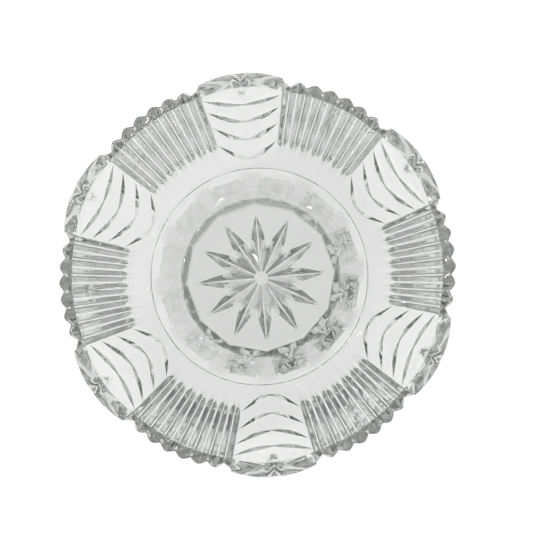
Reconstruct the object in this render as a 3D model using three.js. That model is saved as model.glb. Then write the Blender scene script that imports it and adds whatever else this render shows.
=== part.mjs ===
// A small pressed-glass salon dish, made of one piece of clear glass: a bowl on a low twelve-sided foot.
//
// Six smooth lobes and six toothed arcs alternate round the rim. Below each lobe the outside carries four
// curved V-cuts, the swags, and a short leaf-shaped cut; below each toothed arc run seven straight V-cuts,
// the flutes. The foot flares upwards, with twelve shallow scooped panels round it, and a star of twelve
// V-grooves is cut into its underside.
//
// Millimetres, +Z up. The origin is on the axis, in the plane that the dish stands on, and the middle of one
// lobe lies along +Y.
import * as THREE from "three";
import { mergeVertices } from "three/addons/utils/BufferGeometryUtils.js";

// ---- Driving dimensions: millimetres, and degrees for angles ----
const COLUMNS = 144; // faces round the dish: one for each half of a flute

const FLOOR_Z = 5.2; // the flat floor inside
const BASIN_SLOPE = 55; // of the wall between the floor and the crease
const FILLET = 0.4; // between the floor and that wall
const CREASE_RADIUS = 19; // where the wall turns outwards
const CREASE_Z = 12.2;
const FLOOR_RADIUS =
  CREASE_RADIUS - (CREASE_Z - FLOOR_Z) / Math.tan(THREE.MathUtils.degToRad(BASIN_SLOPE));
const CREASE_SLOPE = 30; // the wall's angle above level, just outside the crease
const RIM_SLOPE = 54; // and at the rim
const INNER_RIM_RADIUS = 32;
const WALL = 2.35; // thickness, square to the wall
const INSIDE_STATIONS = [30.2, 27.6, 24.8, 21.8, CREASE_RADIUS]; // of the rows below the rim

// The rim's rows: across the wall from its inner face, 0, to its outer face, 1, and up along the wall.
const RIM_ROWS = [
  { across: 1, up: -0.9 },
  { across: 1, up: -0.1 },
  { across: 0.8, up: 0.05 },
  { across: 0.2, up: 0.05 },
  { across: 0, up: -0.16 },
];

const FOOT_RADIUS = 12.95; // to the corners of the flat base
const CHAMFER_RADIUS = 14.75;
const CHAMFER_Z = 1.7;
const WAIST_RADIUS = 19.3; // the top of the foot
const WAIST_Z = 10;
const PANEL_EDGE = [14.7, 10.5]; // half a panel's width, in degrees, at its bottom and top
const SCOOP_DEPTH = 0.9; // of a panel just below its top
const SCOOP_TOP_SHARE = 0.92; // how far up the foot that is

const LOBE_HALF = 12.5; // half the width of a smooth lobe
const FLUTE_PITCH = 5;
const LOBE_RISE = [0.55, 1.2]; // along the wall: its ends above the wall's end, and its crest above its ends
const LOBE_INNER_RISE = 0.6; // the inner edge of a lobe's crest
const ARC_RISE = [0.66, 0.66]; // a toothed arc's ends, and how much lower its middle is
const FLUTE_DEPTH = 1.15; // near the rim, below its edge
const FLUTE_FOOT = 19.3; // station where the flutes start
const FLUTE_FULL = 23.8; // station where they reach their full angle
const NOTCH_DEPTH = [0.95, 0.25]; // on the rim: in the middle of an arc, and how much more at its ends

// Each swag hangs from the lobe's edges, at station "end", to its lowest point, at station "low".
const SWAGS = [
  { end: 23.2, low: 20.3 },
  { end: 26.2, low: 23.4 },
  { end: 28.7, low: 26.3 },
  { end: 30.6, low: 28.95 },
];
const SWAG_CURVE = 1.5; // 1 would be a plain V, and 2 a parabola
const SWAG_WIDTH = 1.25; // measured in stations
const SWAG_BOTTOM = 0.35; // where its deepest line is: -1 is its lower edge and 1 its upper edge
const SWAG_DEPTH = 0.42;
const LEAF_FOOT = 29.7; // station of the leaf cut's lower point
const LEAF_DEPTH = 0.6;
const LEAF_SHARE_ON_RIM = 0.3; // of that depth, where the cut crosses the rim

const STAR_POINTS = 12;
const STAR_RADIUS = 11.7;
const STAR_INNER_RADIUS = 5.3; // where neighbouring rays meet
const STAR_SLOPE = 41.8; // of the sides of each groove
const HUB_RADIUS = 1.3; // the flat in the star's middle

// ---- Angles round the dish, in degrees ----
const LOBE_PITCH = 60;
const PANEL_PITCH = 30;
const FIRST_LOBE = 90;
const cosd = (a) => Math.cos(THREE.MathUtils.degToRad(a));
const sind = (a) => Math.sin(THREE.MathUtils.degToRad(a));
// The signed angle to the nearest multiple of pitch.
const offset = (angle, pitch) => angle - pitch * Math.round(angle / pitch);
const fromLobe = (angle) => Math.abs(offset(angle - FIRST_LOBE, LOBE_PITCH));
const fromPanel = (angle) => offset(angle - FIRST_LOBE - PANEL_PITCH / 2, PANEL_PITCH);
const fromRay = (angle) => Math.abs(offset(angle - FIRST_LOBE, 360 / STAR_POINTS));

// ---- The bowl's wall, an arc in section. A station is the radius of a point on its inside. ----
const BEND = (INNER_RIM_RADIUS - CREASE_RADIUS) / (sind(RIM_SLOPE) - sind(CREASE_SLOPE));
const slopeAt = (station) =>
  THREE.MathUtils.radToDeg(Math.asin(sind(CREASE_SLOPE) + (station - CREASE_RADIUS) / BEND));

function inside(station) {
  const z = CREASE_Z + BEND * (cosd(CREASE_SLOPE) - cosd(slopeAt(station)));
  return new THREE.Vector2(station, z);
}

function outside(station, depth = 0) {
  const slope = slopeAt(station);
  return inside(station).add(
    new THREE.Vector2(sind(slope), -cosd(slope)).multiplyScalar(WALL - depth),
  );
}

// ---- The cuts ----
// 0 on a ridge and 1 at the bottom of a flute.
function fluteShare(lobeAngle) {
  if (lobeAngle < LOBE_HALF) return 0;
  return 1 - Math.abs(offset(lobeAngle, FLUTE_PITCH)) / (FLUTE_PITCH / 2);
}

function fluteDepth(station, lobeAngle) {
  const full = (FLUTE_DEPTH * station) / INNER_RIM_RADIUS;
  const along = THREE.MathUtils.clamp((station - FLUTE_FOOT) / (FLUTE_FULL - FLUTE_FOOT), 0, 1);
  return full * fluteShare(lobeAngle) * along;
}

function notchDepth(lobeAngle) {
  const [middle, more] = NOTCH_DEPTH;
  const fromMiddle = (LOBE_PITCH / 2 - lobeAngle) / (LOBE_PITCH / 2 - LOBE_HALF);
  return (middle + more * fromMiddle ** 2) * fluteShare(lobeAngle);
}

// How far below its ends a swag hangs at this angle, from 0 to 1.
const swagDrop = (lobeAngle) => 1 - Math.min(1, lobeAngle / LOBE_HALF) ** SWAG_CURVE;

// A swag's width and depth swell and fade along each half of it.
function swagShare(lobeAngle) {
  const along = Math.min(1, lobeAngle / LOBE_HALF);
  return Math.sin(Math.PI * (0.12 + 0.88 * along));
}

function leafDepth(station, lobeAngle) {
  if (lobeAngle >= FLUTE_PITCH / 2) return 0;
  const along = (station - LEAF_FOOT) / (INNER_RIM_RADIUS - LEAF_FOOT);
  const across = 1 - lobeAngle / (FLUTE_PITCH / 2);
  return along > 0 ? LEAF_DEPTH * across * Math.min(1, 3 * along) : 0;
}

// ---- The rows of the surface: each gives its radius and height at an angle ----
// The base's outline has twelve flats.
function panelled(radius, z) {
  const apothem = radius * cosd(PANEL_PITCH / 2);
  return (angle) => new THREE.Vector2(apothem / cosd(fromPanel(angle)), z);
}

// Round the foot, with twelve scoops in it: share is 0 at its bottom and 1 at its top, where the scoops end.
function scoopedRow(share) {
  const radius = THREE.MathUtils.lerp(CHAMFER_RADIUS, WAIST_RADIUS, share);
  const edge = THREE.MathUtils.lerp(...PANEL_EDGE, share);
  const flat = CHAMFER_RADIUS * (1 - cosd(PANEL_PITCH / 2));
  const scoop = share < 1 ? THREE.MathUtils.lerp(flat, SCOOP_DEPTH, share) : 0;
  return (angle) => {
    const depth = scoop * Math.max(0, 1 - (fromPanel(angle) / edge) ** 2);
    return new THREE.Vector2(radius - depth, THREE.MathUtils.lerp(CHAMFER_Z, WAIST_Z, share));
  };
}

// Across the star: share is 0 at the hub and 1 on the star's outline. The outline's sides are straight.
function starRow(share) {
  const corner = 180 / STAR_POINTS;
  const widest = STAR_INNER_RADIUS * sind(corner);
  const narrowing = widest / (STAR_RADIUS - STAR_INNER_RADIUS * cosd(corner));
  return (angle) => {
    const ray = fromRay(angle);
    const outline = (STAR_RADIUS * narrowing) / (sind(ray) + narrowing * cosd(ray));
    const radius = THREE.MathUtils.lerp(HUB_RADIUS, outline, share);
    const halfWidth = Math.min(widest, narrowing * (STAR_RADIUS - radius * cosd(ray)));
    const depth = (halfWidth - radius * sind(ray)) * (sind(STAR_SLOPE) / cosd(STAR_SLOPE));
    return new THREE.Vector2(radius, share < 1 ? Math.max(0, depth) : 0);
  };
}

function footRows() {
  const { y: hubHeight } = starRow(0)(FIRST_LOBE);
  return [
    () => new THREE.Vector2(0, hubHeight),
    ...[0, 0.35, 0.7, 1].map(starRow),
    panelled(FOOT_RADIUS, 0),
    ...[0, 0.45, SCOOP_TOP_SHARE, 1].map(scoopedRow),
  ];
}

function outerWallRow(stationAt, swagDepthAt) {
  return (angle) => {
    const lobeAngle = fromLobe(angle);
    const station = stationAt(lobeAngle);
    const depth =
      fluteDepth(station, lobeAngle) + leafDepth(station, lobeAngle) + swagDepthAt(lobeAngle);
    return outside(station, depth);
  };
}

// The lower edge, bottom and upper edge of one swag. Across the flutes these rows are only spaced out.
function swagRows({ end, low }) {
  const spread = (lobeAngle) => (lobeAngle > LOBE_HALF ? 1 : Math.max(0.1, swagShare(lobeAngle)));
  return [-1, SWAG_BOTTOM, 1].map((side) =>
    outerWallRow(
      (a) => end - (end - low) * swagDrop(a) + (side * SWAG_WIDTH * spread(a)) / 2,
      (a) => (side === SWAG_BOTTOM && a < LOBE_HALF ? SWAG_DEPTH * swagShare(a) : 0),
    ),
  );
}

// How far the rim's outer edge, and its inner one, stand above the wall's end, along the wall.
function rimRise(lobeAngle) {
  if (lobeAngle <= LOBE_HALF) {
    const crest = 1 - (lobeAngle / LOBE_HALF) ** 2;
    return { outer: LOBE_RISE[0] + LOBE_RISE[1] * crest, inner: LOBE_INNER_RISE * crest };
  }
  const arc = Math.min(1, (LOBE_PITCH / 2 - lobeAngle) / (LOBE_PITCH / 4));
  return { outer: ARC_RISE[0] - ARC_RISE[1] * arc ** 2, inner: 0 };
}

function rimRow({ across, up }) {
  return (angle) => {
    const lobeAngle = fromLobe(angle);
    const leaf = LEAF_SHARE_ON_RIM * leafDepth(INNER_RIM_RADIUS, lobeAngle);
    const { outer, inner } = rimRise(lobeAngle);
    const along = THREE.MathUtils.lerp(inner, outer, across) + up;
    const square = across * (WALL - notchDepth(lobeAngle) - leaf);
    return inside(INNER_RIM_RADIUS).add(
      new THREE.Vector2(
        along * cosd(RIM_SLOPE) + square * sind(RIM_SLOPE),
        along * sind(RIM_SLOPE) - square * cosd(RIM_SLOPE),
      ),
    );
  };
}

function insideRows() {
  const wall = INSIDE_STATIONS.map((station) => () => inside(station));
  const fillet = [
    [FLOOR_RADIUS + FILLET, FLOOR_Z + (FILLET * (CREASE_Z - FLOOR_Z)) / (CREASE_RADIUS - FLOOR_RADIUS)],
    [FLOOR_RADIUS - FILLET, FLOOR_Z],
    [0, FLOOR_Z],
  ];
  return [...wall, ...fillet.map((point) => () => new THREE.Vector2(...point))];
}

// ---- Solids ----
// A lathe whose rows follow the angle: rows are functions from degrees to (radius, height).
function turned(rows, columns) {
  const step = 360 / columns;
  const geometry = new THREE.LatheGeometry(rows.map((row) => row(0)), columns);
  const position = geometry.getAttribute("position");
  for (let column = 0; column <= columns; column++) {
    const angle = step * (column % columns);
    rows.forEach((row, i) => {
      const { x: radius, y: height } = row(angle);
      position.setXYZ(
        column * rows.length + i,
        radius * cosd(angle),
        radius * sind(angle),
        height,
      );
    });
  }
  geometry.deleteAttribute("normal");
  geometry.deleteAttribute("uv");
  return mergeVertices(geometry, 1e-4);
}

function glassBody() {
  const rows = [
    ...footRows(),
    outerWallRow(() => FLUTE_FOOT, () => 0),
    ...SWAGS.flatMap(swagRows),
    ...RIM_ROWS.map(rimRow),
    ...insideRows(),
  ];
  return turned(rows, COLUMNS);
}

const clearGlass = new THREE.MeshStandardMaterial({
  name: "clear_glass",
  color: 0xe9eeec,
  roughness: 0.04,
  metalness: 0,
  transparent: true,
  opacity: 0.45,
});

const dish = new THREE.Mesh(glassBody(), clearGlass);
dish.name = "glass_dish";

const dappenDish = new THREE.Group();
dappenDish.add(dish);

export default dappenDish;
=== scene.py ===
"""A pressed-glass dappen dish, seen almost straight from above on a white table.

The dish is one closed mesh of rows that run all the way round it. Each row gives a radius and a height at
every angle in THETA. The rows start on the axis under the foot, go up the outside and over the rim, and end
on the axis inside the bowl. A "station" is the radius of a point on the inside of the bowl's wall.
"""

import math

import bpy
import numpy as np
from mathutils import Matrix, Vector


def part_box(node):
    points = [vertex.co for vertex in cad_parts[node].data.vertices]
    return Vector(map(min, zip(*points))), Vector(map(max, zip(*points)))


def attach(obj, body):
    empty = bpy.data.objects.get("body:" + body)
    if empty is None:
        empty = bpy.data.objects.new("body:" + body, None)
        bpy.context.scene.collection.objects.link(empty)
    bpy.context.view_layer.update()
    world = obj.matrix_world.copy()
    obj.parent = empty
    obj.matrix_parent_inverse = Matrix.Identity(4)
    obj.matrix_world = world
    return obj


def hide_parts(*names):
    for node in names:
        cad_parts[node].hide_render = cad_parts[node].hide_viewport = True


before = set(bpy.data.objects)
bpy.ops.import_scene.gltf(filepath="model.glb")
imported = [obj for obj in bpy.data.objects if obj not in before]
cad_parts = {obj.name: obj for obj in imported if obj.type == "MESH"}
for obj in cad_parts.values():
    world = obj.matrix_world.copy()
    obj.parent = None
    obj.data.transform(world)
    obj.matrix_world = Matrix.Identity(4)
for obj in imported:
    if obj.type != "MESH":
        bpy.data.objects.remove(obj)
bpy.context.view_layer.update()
MM = 0.001
BASE_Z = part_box("glass_dish")[0][2] / MM

# ---- The CAD part's own dimensions, in millimetres, and degrees for angles ----
FLOOR_Z = 5.2  # the flat floor inside
CREASE_RADIUS = 19.0  # where the wall turns outwards
CREASE_Z = 12.2
CREASE_SLOPE = 30  # the wall's angle above level, just outside the crease
RIM_SLOPE = 54  # and at the rim
INNER_RIM_RADIUS = 32.0
WALL = 2.35  # thickness, square to the wall
BASIN_SLOPE = 55  # of the wall between the floor and the crease
WAIST_RADIUS = 19.3  # the top of the foot
WAIST_Z = 10.0
FOOT_RADIUS = 12.95  # to the corners of the flat base
CHAMFER_RADIUS = 14.75
CHAMFER_Z = 1.7
PANEL_EDGE = (14.7, 10.5)  # half a panel's width, in degrees, at its bottom and top
SCOOP_DEPTH = 0.9  # of a panel just below its top
SCOOP_TOP_SHARE = 0.92  # how far up the foot that is
LOBE_HALF = 12.5  # half the width of a smooth lobe
LOBE_PITCH = 60
PANEL_PITCH = 30
FLUTE_PITCH = 5
FIRST_LOBE = 90
LOBE_RISE = (0.55, 1.2)  # along the wall: a lobe's ends, and its crest above them
LOBE_INNER_RISE = 0.6
ARC_RISE = (0.66, 0.66)  # a toothed arc's ends, and how much lower its middle is
FLUTE_DEPTH = 1.15  # near the rim, below its edge
FLUTE_FOOT = 19.3  # station where the flutes start
FLUTE_FULL = 23.8  # station where they reach their full angle
NOTCH_DEPTH = (0.95, 0.25)  # in the middle of an arc, and how much more at its ends
SWAGS = ((23.2, 20.3), (26.2, 23.4), (28.7, 26.3), (30.6, 28.95))  # stations: ends, lowest point
SWAG_CURVE = 1.5  # 1 would be a plain V, and 2 a parabola
SWAG_WIDTH = 1.25  # measured in stations
SWAG_DEPTH = 0.42
SWAG_BOTTOM = 0.35  # where its deepest line is: -1 is its lower edge and 1 its upper edge
LEAF_FOOT = 29.7  # station of the leaf cut's lower point
LEAF_DEPTH = 0.6
LEAF_SHARE_ON_RIM = 0.3  # of that depth, where the cut crosses the rim
STAR_POINTS = 12
STAR_RADIUS = 11.7
STAR_INNER_RADIUS = 5.3  # where neighbouring rays meet
STAR_SLOPE = 41.8  # of the sides of each groove
HUB_RADIUS = 1.3  # the flat in the star's middle

# ---- Finer than the CAD: more rows and columns, rounded edges and a few small marks ----
LOBE_STEP = 0.625  # degrees between columns over a lobe
HALF_FLUTE_STEPS = (0, 0.06, 0.12, 0.37, 0.62, 0.88, 0.94)  # columns between a ridge and a valley
ROUNDING = 0.12  # share of a flute's side that is rounded off at the ridge, and at the valley
SCALLOP_ROUNDNESS = 1.5  # a power: more than 1 makes the teeth of the rim round
SWAG_TAPER = (0.12, 1.15)  # its fullness at the lowest point, and a power that moves the fullest place out
SWAG_THINNEST = 0.08
LOBE_EDGE = LOBE_HALF + 0.01  # just past the column at the edge of a lobe
SWAG_STEPS = (-1, -0.6, -0.2, 0.15, SWAG_BOTTOM, 0.6, 1)  # rows across each swag, from edge to edge
BELOW_SWAG_STEPS = (0.15, 0.5, 0.85)  # rows in the plain wall below each swag
TOP_STEPS = (0.2, 0.45, 0.7, 1)  # and above the last one
LEAF_HALF_WIDTH = 2.4  # degrees
LEAF_FULL = 0.625  # share of the leaf's length over which it widens and deepens
LEAF_POINT = (0.02, 0.7)  # its least width, as a share, and a power that rounds its point
# Rows over the rim: across the wall from its inner face, up along the wall, share of the outer edge's rise.
RIM_ROWS = (
    (1.0, -0.7, 1),
    (1.0, -0.3, 1),
    (1.0, -0.12, 1),
    (0.98, -0.03, 1),
    (0.93, 0.02, 1),
    (0.8, 0.05, 0.8),
    (0.6, 0.06, 0.6),
    (0.4, 0.06, 0.4),
    (0.2, 0.05, 0.2),
    (0.08, 0.02, 0.08),
    (0.02, -0.06, 0.02),
    (0.0, -0.16, 0),
)
# A small rounded bead round the crease: (outwards, upwards) from the crease.
CREASE_BEAD = ((0.17, 0.12), (0.08, 0.2), (0.0, 0.24), (-0.08, 0.16), (-0.14, -0.02), (-0.2, -0.2))
FILLET = (0.25, 0.4)  # between the floor and the wall round it: its reach outwards and inwards
BASIN_STEPS = (0.3, 0.6, 0.9)  # rows down the basin's wall
FOOT_STEPS = (0.05, 0.15, 0.3, 0.45, 0.6, 0.75, SCOOP_TOP_SHARE, 1)  # rows up the foot
BASE_EDGE = 0.25  # how far the chamfer's rounding reaches at the base
BASE_LIFT = (0.02, 0.15)  # heights of that rounding's first two points
CHAMFER_LIFT = 0.3  # how far it starts to turn below its top
SEAM_PITCH = 120
SEAM_FOOT = 28.0  # station of each wedge's lower point
SEAM_DEPTH = 0.35
SEAM_HALF_WIDTH = 1.1  # degrees, at the rim
STAR_STEPS = (0, 0.1, 0.2, 0.32, 0.44, 0.56, 0.68, 0.8, 0.9, 1)  # rows from the hub to the outline
RAY_ROUNDING = 0.3  # degrees, at the star's points and between its rays
RAY_BULGE = 0.1  # how far the rays' sides bow outwards
RAY_CREST = 0.04  # half the width of the rounding along the middle of each groove
RIPPLE_SEED = 7
RIPPLE_COUNT = 40  # waves added together
RIPPLE_LENGTH = (1.3, 4.0)
RIPPLE_HEIGHT = 0.018
RIPPLE_START = (12.0, 15.0)  # heights between which it sets in: the foot and its basin stay smooth
SHARP_ANGLE = 22  # edges that turn by more than this are shaded as sharp

# ---- The glass ----
GLASS_TINT = (0.85, 0.855, 0.85, 1)
GLASS_IOR = 1.52
ABSORPTION_COLOUR = (0.5, 0.53, 0.5, 1)
ABSORPTION_DENSITY = 25  # to the metre
POLISH_SCALE = 600  # patches to the metre
POLISH_DETAIL = 4.0
POLISH_RANGE = (0.45, 0.75)  # of the noise, from fully polished to least polished
POLISH_ROUGHNESS = 0.08  # where the glass is least polished
SKIN_RELIEF = 0.012

# ---- The table, light and camera ----
TABLE_SIZE = 3.0  # metres
TABLE_GAP = 0.05  # between the base and the table
TABLE_COLOUR = (0.9, 0.9, 0.9, 1)
SURROUND_DARK = (0.18, 0.18, 0.18, 1)  # of the room on the +Y side
SURROUND_LIGHT = (0.8, 0.8, 0.8, 1)  # and on the -Y side
MAX_BOUNCES = 24
GLOSSY_BOUNCES = 12
CAMERA_DISTANCE = 500  # from the rim's plane
FRAME_WIDTH = 91.7  # the width seen at that distance
RIM_HEIGHT = 23.7
AIM_RIGHT = 1.63  # of the dish's axis
AIM_UP = 1.38
TILT = 2.6  # of the view from straight down
TOWARD = -50.0  # the side from which it looks
UP_ANGLE = 85.0  # the direction that is up in the picture
SENSOR_WIDTH = 36


def cosd(a):
    return np.cos(np.radians(a))


def sind(a):
    return np.sin(np.radians(a))


def offset(angle, pitch):
    """The signed angle to the nearest multiple of pitch."""
    return angle - pitch * np.round(angle / pitch)


def smoothstep(x, low, high):
    t = np.clip((x - low) / (high - low), 0, 1)
    return t * t * (3 - 2 * t)


def column_angles():
    """Angles of the mesh's columns: even over the lobes, and closer at the flutes' ridges and valleys."""
    half_flute = FLUTE_PITCH / 2
    to_valley = np.array(HALF_FLUTE_STEPS)
    to_ridge = np.concatenate(([0], 1 - to_valley[:0:-1]))
    pieces = [np.arange(-LOBE_HALF, LOBE_HALF, LOBE_STEP)]
    for k in range(round((LOBE_PITCH - 2 * LOBE_HALF) / half_flute)):
        share = to_valley if k % 2 == 0 else to_ridge
        pieces.append(LOBE_HALF + half_flute * (k + share))
    one = np.concatenate(pieces)
    return np.concatenate([FIRST_LOBE + LOBE_PITCH * i + one for i in range(360 // LOBE_PITCH)])


THETA = column_angles()
LOBE_ANGLE = np.abs(offset(THETA - FIRST_LOBE, LOBE_PITCH))
PANEL_ANGLE = offset(THETA - FIRST_LOBE - PANEL_PITCH / 2, PANEL_PITCH)
RAY_ANGLE = np.abs(offset(THETA - FIRST_LOBE, 360 / STAR_POINTS))
SEAM_ANGLE = np.abs(offset(THETA - FIRST_LOBE + SEAM_PITCH / 4, SEAM_PITCH))
ON_LOBE = LOBE_ANGLE < LOBE_HALF
ALONG_SWAG = np.clip(LOBE_ANGLE / LOBE_HALF, 0, 1)
BEND = (INNER_RIM_RADIUS - CREASE_RADIUS) / (sind(RIM_SLOPE) - sind(CREASE_SLOPE))


def slope_at(station):
    """The wall's angle above level. The wall is an arc in section."""
    return np.degrees(np.arcsin(sind(CREASE_SLOPE) + (station - CREASE_RADIUS) / BEND))


def inside(station):
    """(radius, height) on the bowl's inside, whose radius is the station."""
    station = np.broadcast_to(station, THETA.shape).astype(float)
    return station, CREASE_Z + BEND * (cosd(CREASE_SLOPE) - cosd(slope_at(station)))


def outside(station, depth=0.0):
    """(radius, height) on the bowl's outside, opposite the station, with a cut of the given depth."""
    radius, z = inside(station)
    slope = slope_at(radius)
    return radius + sind(slope) * (WALL - depth), z - cosd(slope) * (WALL - depth)


def flute_share():
    """0 on a ridge of the flutes and 1 in a valley."""
    x = 1 - np.abs(offset(LOBE_ANGLE, FLUTE_PITCH)) / (FLUTE_PITCH / 2)
    from_end = np.minimum(x, 1 - x)
    eased = np.where(from_end < ROUNDING, from_end**2 / (2 * ROUNDING), from_end - ROUNDING / 2)
    eased = eased / (1 - ROUNDING)
    return np.where(ON_LOBE, 0, np.where(x < 0.5, eased, 1 - eased))


def flute_depth(station):
    """The depth of the flutes, which grows from their foot."""
    full = FLUTE_DEPTH * station / INNER_RIM_RADIUS
    return full * flute_share() * np.clip((station - FLUTE_FOOT) / (FLUTE_FULL - FLUTE_FOOT), 0, 1)


def notch_depth():
    """The depth of the notches that make the rim's teeth."""
    middle, more = NOTCH_DEPTH
    from_middle = (LOBE_PITCH / 2 - LOBE_ANGLE) / (LOBE_PITCH / 2 - LOBE_HALF)
    return (middle + more * from_middle**2) * flute_share() ** SCALLOP_ROUNDNESS


def leaf_depth(station):
    """The depth of the leaf cut in the middle of each lobe."""
    along = (station - LEAF_FOOT) / (INNER_RIM_RADIUS - LEAF_FOOT)
    least, power = LEAF_POINT
    width = LEAF_HALF_WIDTH * np.clip(along / LEAF_FULL, least, 1) ** power
    across = np.clip(1 - LOBE_ANGLE / width, 0, 1)
    return LEAF_DEPTH * across * np.clip(along / LEAF_FULL, 0, 1)


# How far below its ends a swag hangs, and how its depth and width swell and fade, at each column.
SWAG_DROP = 1 - ALONG_SWAG**SWAG_CURVE
SWAG_SHARE = np.sin(math.pi * (SWAG_TAPER[0] + (1 - SWAG_TAPER[0]) * ALONG_SWAG ** SWAG_TAPER[1]))
SWAG_SPREAD = np.where(LOBE_ANGLE > LOBE_EDGE, 1, np.maximum(SWAG_THINNEST, SWAG_SHARE))


def swag_line(swag, side):
    """Stations of a line along a swag: side is -1 on its lower edge and 1 on its upper edge."""
    end, low = swag
    return end - (end - low) * SWAG_DROP + side * SWAG_WIDTH * SWAG_SPREAD / 2


def wall_row(station, swag_depth=0.0):
    return outside(station, flute_depth(station) + leaf_depth(station) + swag_depth)


def wall_rows():
    """Up the outside of the bowl. The rows follow the swags' edges, so those come out crisp."""
    rows = []
    below = np.full(THETA.shape, FLUTE_FOOT - 0.2)
    for swag in SWAGS:
        lower = swag_line(swag, -1)
        for t in BELOW_SWAG_STEPS:
            rows.append(wall_row(below + (lower - below) * t))
        for side in SWAG_STEPS:
            edge = 1 if side > SWAG_BOTTOM else -1
            share = (edge - side) / (edge - SWAG_BOTTOM)
            depth = np.where(ON_LOBE, SWAG_DEPTH * share * SWAG_SHARE, 0)
            rows.append(wall_row(swag_line(swag, side), depth))
        below = swag_line(swag, 1)
    top = np.full(THETA.shape, INNER_RIM_RADIUS - 0.35)
    for t in TOP_STEPS:
        rows.append(wall_row(below + (top - below) * t))
    return rows


def rim_rise():
    """How far the rim's outer edge stands above the wall's end, along the wall."""
    lobe = LOBE_RISE[0] + LOBE_RISE[1] * (1 - ALONG_SWAG**2)
    arc = np.clip((LOBE_PITCH / 2 - LOBE_ANGLE) / (LOBE_PITCH / 4), 0, 1)
    return np.where(LOBE_ANGLE <= LOBE_HALF, lobe, ARC_RISE[0] - ARC_RISE[1] * arc**2)


def rim_rows():
    """Over the rim, from its outer face to its inner face."""
    rise = rim_rise()
    cut = notch_depth() + LEAF_SHARE_ON_RIM * leaf_depth(INNER_RIM_RADIUS)
    inner = np.where(ON_LOBE, LOBE_INNER_RISE * (1 - ALONG_SWAG**2), 0)
    radius, z = inside(INNER_RIM_RADIUS)
    rows = []
    for across, up, follow in RIM_ROWS:
        along = inner + (rise - inner) * follow + up
        square = across * (WALL - cut)
        row_radius = radius + along * cosd(RIM_SLOPE) + square * sind(RIM_SLOPE)
        row_z = z + along * sind(RIM_SLOPE) - square * cosd(RIM_SLOPE)
        rows.append((row_radius, row_z))
    return rows


def bezier(points, count):
    """Points along the cubic Bezier curve through four control points."""
    p = [np.array(q, float) for q in points]
    for t in np.linspace(0, 1, count):
        s = 1 - t
        yield s**3 * p[0] + 3 * s * s * t * p[1] + 3 * s * t * t * p[2] + t**3 * p[3]


def flat_row(radius, z):
    return np.full(THETA.shape, float(radius)), np.full(THETA.shape, float(z))


def seam_row(station):
    """The inside of the wall, with the wedge that each joint of the mould left below the rim."""
    radius, z = inside(station)
    along = np.clip((station - SEAM_FOOT) / (INNER_RIM_RADIUS - SEAM_FOOT), 0.02, 1)
    depth = SEAM_DEPTH * along * np.clip(1 - SEAM_ANGLE / (SEAM_HALF_WIDTH * along), 0, 1)
    return radius + depth * sind(slope_at(station)), z - depth * cosd(slope_at(station))


def inside_rows():
    """Down the inside of the bowl, over the bead at the crease, and down the basin to the floor."""
    rows = [seam_row(s) for s in np.linspace(INNER_RIM_RADIUS - 0.5, SEAM_FOOT, 5)]
    rows += [inside(s) for s in np.linspace(SEAM_FOOT - 0.8, CREASE_RADIUS + 0.25, 9)]
    rows += [flat_row(CREASE_RADIUS + r, CREASE_Z + z) for r, z in CREASE_BEAD]
    steepness = math.tan(math.radians(BASIN_SLOPE))
    wall_top = (CREASE_RADIUS + CREASE_BEAD[-1][0], CREASE_Z + CREASE_BEAD[-1][1])
    wall_foot = (wall_top[0] - (wall_top[1] - FLOOR_Z) / steepness, FLOOR_Z)
    fillet_top = (wall_foot[0] + FILLET[0], FLOOR_Z + FILLET[0] * steepness)
    for t in BASIN_STEPS:
        radius = wall_top[0] + (fillet_top[0] - wall_top[0]) * t
        rows.append(flat_row(radius, wall_top[1] + (fillet_top[1] - wall_top[1]) * t))
    fillet = (fillet_top, wall_foot, wall_foot, (wall_foot[0] - FILLET[1], FLOOR_Z))
    rows += [flat_row(r, z) for r, z in bezier(fillet, 8)]
    rows.append(flat_row(wall_foot[0] / 2, FLOOR_Z))
    return rows


def panelled(radius, z):
    """A row with twelve flats: radius is to its corners."""
    return radius * cosd(PANEL_PITCH / 2) / cosd(PANEL_ANGLE), np.full(THETA.shape, float(z))


def star_outline():
    """The star's radius at each column: straight sides that bow outwards a little, and rounded corners."""
    corner = 180 / STAR_POINTS
    angle = np.hypot(RAY_ANGLE, RAY_ROUNDING)
    angle = corner - np.hypot(np.maximum(corner - angle, 0), RAY_ROUNDING)
    reach = STAR_RADIUS * STAR_INNER_RADIUS * sind(corner)
    straight = reach / (STAR_INNER_RADIUS * sind(corner - angle) + STAR_RADIUS * sind(angle))
    return straight * (1 + RAY_BULGE * np.sin(math.pi * angle / corner))


def star_rows():
    """Twelve grooves, V-shaped across, that run from the hub to the points of the star."""
    outline = star_outline()
    by_radius = np.argsort(outline)
    side = outline * sind(RAY_ANGLE)
    rows = []
    for t in STAR_STEPS:
        radius = HUB_RADIUS + (outline - HUB_RADIUS) * t
        half_width = np.interp(radius, outline[by_radius], side[by_radius])
        lateral = radius * sind(RAY_ANGLE)
        from_side = half_width - np.hypot(lateral, RAY_CREST) + RAY_CREST
        z = math.tan(math.radians(STAR_SLOPE)) * from_side
        rows.append((radius, np.maximum(z, 0) if t < 1 else np.zeros(THETA.shape)))
    return rows


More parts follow.
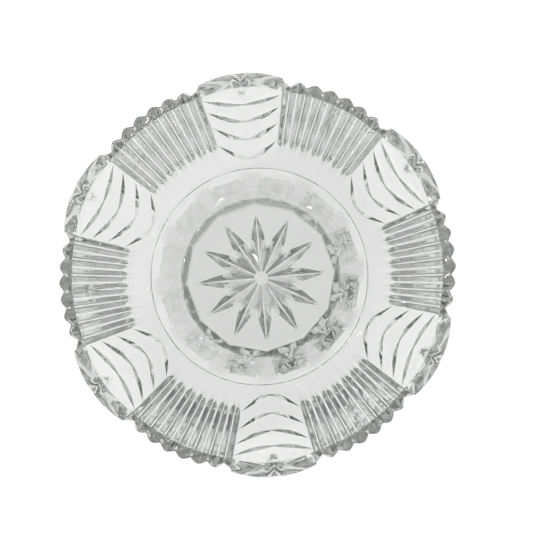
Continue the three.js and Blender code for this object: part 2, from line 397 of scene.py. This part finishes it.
def foot_rows():
    """From the hub of the star to the edge of the base, and up the foot's scooped panels to the waist."""
    rows = star_rows()
    flat = CHAMFER_RADIUS * (1 - cosd(PANEL_PITCH / 2))
    rows.append(panelled(FOOT_RADIUS - BASE_EDGE, 0))
    chamfer = (
        (FOOT_RADIUS, BASE_LIFT[0]),
        (FOOT_RADIUS + BASE_EDGE, BASE_LIFT[1]),
        (CHAMFER_RADIUS - BASE_EDGE, CHAMFER_Z - CHAMFER_LIFT),
        (CHAMFER_RADIUS, CHAMFER_Z),
    )
    rows += [panelled(r, z) for r, z in bezier(chamfer, 7)]
    for t in FOOT_STEPS:
        radius = CHAMFER_RADIUS + (WAIST_RADIUS - CHAMFER_RADIUS) * t
        edge = PANEL_EDGE[0] + (PANEL_EDGE[1] - PANEL_EDGE[0]) * t
        scoop = flat * (1 - t) + SCOOP_DEPTH * t if t < 1 else 0
        radii = radius - scoop * np.clip(1 - (PANEL_ANGLE / edge) ** 2, 0, 1)
        rows.append((radii, np.full(THETA.shape, CHAMFER_Z + (WAIST_Z - CHAMFER_Z) * t)))
    rows.append(flat_row(WAIST_RADIUS + 0.2, WAIST_Z + 0.05))
    return rows


def ripple(points):
    """The faint waves of pressed glass: each point moves away from or towards the middle of the crease."""
    rng = np.random.default_rng(RIPPLE_SEED)
    wave = np.zeros(len(points))
    for _ in range(RIPPLE_COUNT):
        direction = rng.normal(size=3)
        direction /= np.linalg.norm(direction)
        length = rng.uniform(*RIPPLE_LENGTH)
        wave += np.sin(points @ direction * 2 * math.pi / length + rng.uniform(0, 2 * math.pi))
    wave *= RIPPLE_HEIGHT / math.sqrt(RIPPLE_COUNT)
    away = points - np.array((0, 0, CREASE_Z))
    away /= np.linalg.norm(away, axis=1)[:, None]
    wave *= smoothstep(points[:, 2], *RIPPLE_START)
    return points + away * wave[:, None]


def ring_mesh(name, rows, bottom_z, top_z):
    """A closed mesh from rows of (radius, z), with a point on the axis at each end."""
    count = len(THETA)
    points = [(0, 0, bottom_z)]
    for radius, z in rows:
        points += zip(radius * cosd(THETA), radius * sind(THETA), z)
    points.append((0, 0, top_z))
    points = ripple(np.array(points)) * MM
    columns = np.arange(count)
    after = (columns + 1) % count
    faces = [(0, 1 + b, 1 + a) for a, b in zip(columns, after)]
    for i in range(len(rows) - 1):
        low = 1 + i * count
        high = low + count
        faces += [(low + a, low + b, high + b, high + a) for a, b in zip(columns, after)]
    last = 1 + (len(rows) - 1) * count
    faces += [(len(points) - 1, last + a, last + b) for a, b in zip(columns, after)]
    mesh = bpy.data.meshes.new(name)
    mesh.from_pydata(points.tolist(), [], faces)
    mesh.polygons.foreach_set("use_smooth", [True] * len(mesh.polygons))
    mesh.set_sharp_from_angle(angle=math.radians(SHARP_ANGLE))
    return mesh


def clear_glass():
    """Clear glass, a little less polished in some patches than in others."""
    mat = bpy.data.materials.new("clear_glass")
    mat.use_nodes = True
    nodes = mat.node_tree.nodes
    links = mat.node_tree.links
    shader = nodes["Principled BSDF"]
    shader.inputs["Base Color"].default_value = GLASS_TINT
    shader.inputs["IOR"].default_value = GLASS_IOR
    shader.inputs["Transmission Weight"].default_value = 1.0
    coordinates = nodes.new("ShaderNodeTexCoord")
    noise = nodes.new("ShaderNodeTexNoise")
    noise.inputs["Scale"].default_value = POLISH_SCALE
    noise.inputs["Detail"].default_value = POLISH_DETAIL
    links.new(coordinates.outputs["Object"], noise.inputs["Vector"])
    polish = nodes.new("ShaderNodeMapRange")
    polish.inputs["From Min"].default_value = POLISH_RANGE[0]
    polish.inputs["From Max"].default_value = POLISH_RANGE[1]
    polish.inputs["To Max"].default_value = POLISH_ROUGHNESS
    links.new(noise.outputs["Fac"], polish.inputs["Value"])
    links.new(polish.outputs["Result"], shader.inputs["Roughness"])
    skin = nodes.new("ShaderNodeBump")
    skin.inputs["Distance"].default_value = SKIN_RELIEF * MM
    links.new(noise.outputs["Fac"], skin.inputs["Height"])
    links.new(skin.outputs["Normal"], shader.inputs["Normal"])
    absorption = nodes.new("ShaderNodeVolumeAbsorption")
    absorption.inputs["Color"].default_value = ABSORPTION_COLOUR
    absorption.inputs["Density"].default_value = ABSORPTION_DENSITY
    links.new(absorption.outputs["Volume"], nodes["Material Output"].inputs["Volume"])
    return mat


# ---- The dish ----
rows = [*foot_rows(), *wall_rows(), *rim_rows(), *inside_rows()]
hub_height = float(rows[0][1].max())
mesh = ring_mesh("dish", rows, hub_height, FLOOR_Z)
dish = bpy.data.objects.new("dish", mesh)
bpy.context.collection.objects.link(dish)
mesh.materials.append(clear_glass())
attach(dish, "root")
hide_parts("glass_dish")

# ---- Table ----
table_mesh = bpy.data.meshes.new("table")
corners = [(x * TABLE_SIZE / 2, y * TABLE_SIZE / 2, 0) for x, y in ((-1, -1), (1, -1), (1, 1), (-1, 1))]
table_mesh.from_pydata(corners, [], [(0, 1, 2, 3)])
table = bpy.data.objects.new("table", table_mesh)
bpy.context.collection.objects.link(table)
table.location.z = (BASE_Z - TABLE_GAP) * MM
table_mat = bpy.data.materials.new("white_table")
table_mat.use_nodes = True
table_shader = table_mat.node_tree.nodes["Principled BSDF"]
table_shader.inputs["Base Color"].default_value = TABLE_COLOUR
table_shader.inputs["Roughness"].default_value = 1.0
table_shader.inputs["Specular IOR Level"].default_value = 0.0
table_mesh.materials.append(table_mat)

# ---- Light: a grey room, darker on the +Y side, with a wide lamp for the table and two small ones ----
world = bpy.data.worlds.new("studio")
bpy.context.scene.world = world
world.use_nodes = True
nodes = world.node_tree.nodes
links = world.node_tree.links
background = nodes["Background"]
coordinates = nodes.new("ShaderNodeTexCoord")
split = nodes.new("ShaderNodeSeparateXYZ")
ramp = nodes.new("ShaderNodeValToRGB")
scale = nodes.new("ShaderNodeMath")
scale.operation = "MULTIPLY_ADD"
scale.inputs[1].default_value = -0.5
scale.inputs[2].default_value = 0.5
links.new(coordinates.outputs["Generated"], split.inputs[0])
links.new(split.outputs["Y"], scale.inputs[0])
links.new(scale.outputs[0], ramp.inputs[0])
ramp.color_ramp.elements[0].color = SURROUND_DARK
ramp.color_ramp.elements[1].color = SURROUND_LIGHT
links.new(ramp.outputs[0], background.inputs["Color"])


def softbox(name, azimuth, elevation, distance, size, watts):
    """A square lamp that faces the dish, with its distance and size in metres."""
    light = bpy.data.lights.new(name, "AREA")
    light.shape = "SQUARE"
    light.size = size
    light.energy = watts
    lamp = bpy.data.objects.new(name, light)
    bpy.context.collection.objects.link(lamp)
    level = cosd(elevation)
    toward = Vector((cosd(azimuth) * level, sind(azimuth) * level, sind(elevation)))
    lamp.location = toward * distance
    lamp.rotation_euler = toward.to_track_quat("Z", "Y").to_euler()
    return lamp


overhead = softbox("overhead", 90, 70, 0.8, 0.5, 5.0)
overhead.data.use_shadow = False
overhead.visible_glossy = False
overhead.visible_transmission = False
softbox("lamp_left", 140, 55, 0.8, 0.08, 0.5)
softbox("lamp_right", -20, 60, 0.8, 0.08, 0.5)

# ---- Camera ----
camera_data = bpy.data.cameras.new("camera")
camera = bpy.data.objects.new("camera", camera_data)
bpy.context.collection.objects.link(camera)
bpy.context.scene.camera = camera
back = Vector((cosd(TOWARD) * sind(TILT), sind(TOWARD) * sind(TILT), cosd(TILT)))
up = Vector((cosd(UP_ANGLE), sind(UP_ANGLE), 0))
right = up.cross(back).normalized()
up = back.cross(right)
camera_data.sensor_width = SENSOR_WIDTH
camera_data.lens = SENSOR_WIDTH * CAMERA_DISTANCE / FRAME_WIDTH
aim = Vector((0, 0, RIM_HEIGHT)) + AIM_RIGHT * right + AIM_UP * up
place = Matrix.Translation((aim + back * CAMERA_DISTANCE) * MM)
camera.matrix_world = place @ Matrix((right, up, back)).transposed().to_4x4()

scene = bpy.context.scene
scene.view_settings.view_transform = "Standard"
scene.cycles.use_denoising = True
scene.cycles.max_bounces = MAX_BOUNCES
scene.cycles.transmission_bounces = MAX_BOUNCES
scene.cycles.glossy_bounces = GLOSSY_BOUNCES
